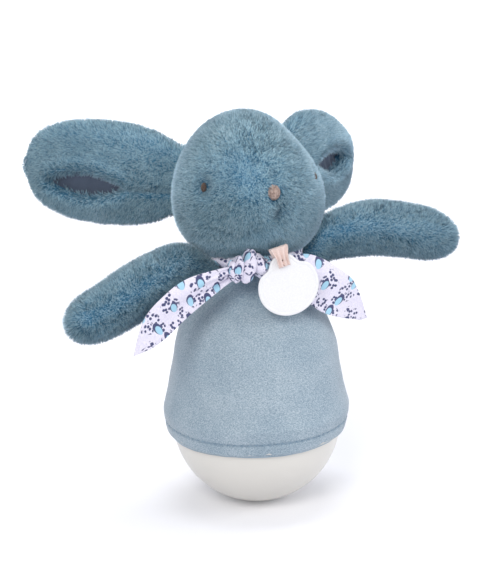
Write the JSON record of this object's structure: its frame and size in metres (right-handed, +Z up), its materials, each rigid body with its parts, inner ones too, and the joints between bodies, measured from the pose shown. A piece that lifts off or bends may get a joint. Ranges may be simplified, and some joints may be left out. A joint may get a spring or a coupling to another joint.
{
  "type": "roly-poly night light",
  "caption": "Roly-poly night light: a weighted ball lamp with an ivory base and a milky dome, under a lift-off plush rabbit with swinging ears and arms, a printed scarf and a blank tag.",
  "frame": {"origin": "middle of the flat foot under the ball", "axes": "+Z up, -Y the way the rabbit faces, +X towards the rabbit's left"},
  "size_m": [0.2068, 0.1196, 0.1932],
  "materials": {
    "ivory": "moulded ivory plastic, faint satin",
    "milky": "milky plastic that spreads light",
    "button": "satin moulded plastic",
    "iron": "bare casting",
    "steel": "nickel-plated steel",
    "board": "green solder mask",
    "black": "black moulding",
    "lens": "clear warm lens",
    "wire": "soft wire sleeve",
    "velour": "short-pile velour",
    "hem": "plain woven lining",
    "elastic": "woven elastic",
    "wadding": "polyester fibre",
    "plush": "long-pile plush",
    "slate": "short-pile velour",
    "eye_thread": "satin-stitched thread",
    "nose_thread": "satin-stitched thread",
    "print": "thin printed cotton",
    "tag_card": "smooth white card",
    "ribbon": "satin ribbon"
  },
  "bodies": {
    "light_module": {"base_bowl": "ivory", "ball_dome": "milky", "counterweight": "iron", "weight_washer": "steel", "weight_screw": "steel", "battery_tube": "ivory", "battery_contact": "steel", "button_cell_1": "steel", "button_cell_2": "steel", "button_cell_3": "steel", "battery_spring": "steel", "battery_door": "ivory", "door_screw": "steel", "button_housing": "ivory", "press_switch": "black", "lamp_deck": "ivory", "deck_screw_1": "steel", "deck_screw_2": "steel", "deck_screw_3": "steel", "circuit_board": "board", "board_screw_1": "steel", "board_screw_2": "steel", "warm_lamp_1": "lens", "warm_lamp_2": "lens", "warm_lamp_3": "lens", "control_chip": "black", "battery_lead": "wire", "switch_lead": "wire"},
    "button": {"power_button": "button"},
    "plush": {"body_cover": "velour", "hem_lining": "hem", "hem_elastic": "elastic", "body_wadding": "wadding", "scarf_band": "print", "scarf_knot": "print", "scarf_tail_right": "print", "scarf_tail_left": "print"},
    "head": {"head_skin": "plush", "head_wadding": "wadding", "eye_right": "eye_thread", "eye_left": "eye_thread", "nose": "nose_thread"},
    "right_ear": {"ear_right": "plush", "ear_lining_right": "slate", "ear_wadding_right": "wadding"},
    "left_ear": {"ear_left": "plush", "ear_lining_left": "slate", "ear_wadding_left": "wadding"},
    "right_arm": {"arm_right": "plush", "arm_wadding_right": "wadding"},
    "left_arm": {"arm_left": "plush", "arm_wadding_left": "wadding"},
    "tag": {"name_tag": "tag_card", "tag_ribbon": "ribbon", "tag_rivet": "steel"}
  },
  "joints": [
    {"name": "plush_lift", "type": "slide", "parent": "light_module", "child": "plush", "axis": [0, 0, 1], "range_m": [0, 0.05]},
    {"name": "button_press", "type": "slide", "parent": "light_module", "child": "button", "axis": [0, -0.9511, 0.309], "range_m": [0, 0.0008], "stiffness_N_per_m": 300, "springref_m": -0.001},
    {"name": "head_nod", "type": "hinge", "parent": "plush", "child": "head", "pos_m": [-0.0029, -0.002, 0.1585], "axis": [1, 0, 0], "range_deg": [-12, 12], "stiffness_Nm_per_rad": 0.3, "springref_deg": 1.29},
    {"name": "ear_right_flap", "type": "hinge", "parent": "head", "child": "right_ear", "pos_m": [-0.02358, 0.01536, 0.1585], "axis": [0.6428, 0.766, 0], "range_deg": [-20, 17], "stiffness_Nm_per_rad": 0.08, "springref_deg": 2.5},
    {"name": "ear_left_flap", "type": "hinge", "parent": "head", "child": "left_ear", "pos_m": [0.01778, 0.01536, 0.1585], "axis": [0.6428, -0.766, 0], "range_deg": [-13, 20], "stiffness_Nm_per_rad": 0.08, "springref_deg": 2.5},
    {"name": "arm_right_swing", "type": "hinge", "parent": "plush", "child": "right_arm", "pos_m": [-0.024, -0.002, 0.111], "axis": [-0.2504, 0.9681, 0], "range_deg": [-10, 25], "stiffness_Nm_per_rad": 0.06, "springref_deg": 2.45},
    {"name": "arm_left_swing", "type": "hinge", "parent": "plush", "child": "left_arm", "pos_m": [0.024, -0.002, 0.111], "axis": [-0.2504, -0.9681, 0], "range_deg": [-22, 13], "stiffness_Nm_per_rad": 0.06, "springref_deg": 2.39},
    {"name": "tag_swing", "type": "hinge", "parent": "plush", "child": "tag", "pos_m": [0.0022, -0.0329, 0.1302], "axis": [-1, 0, 0], "range_deg": [0, 60]}
  ]
}
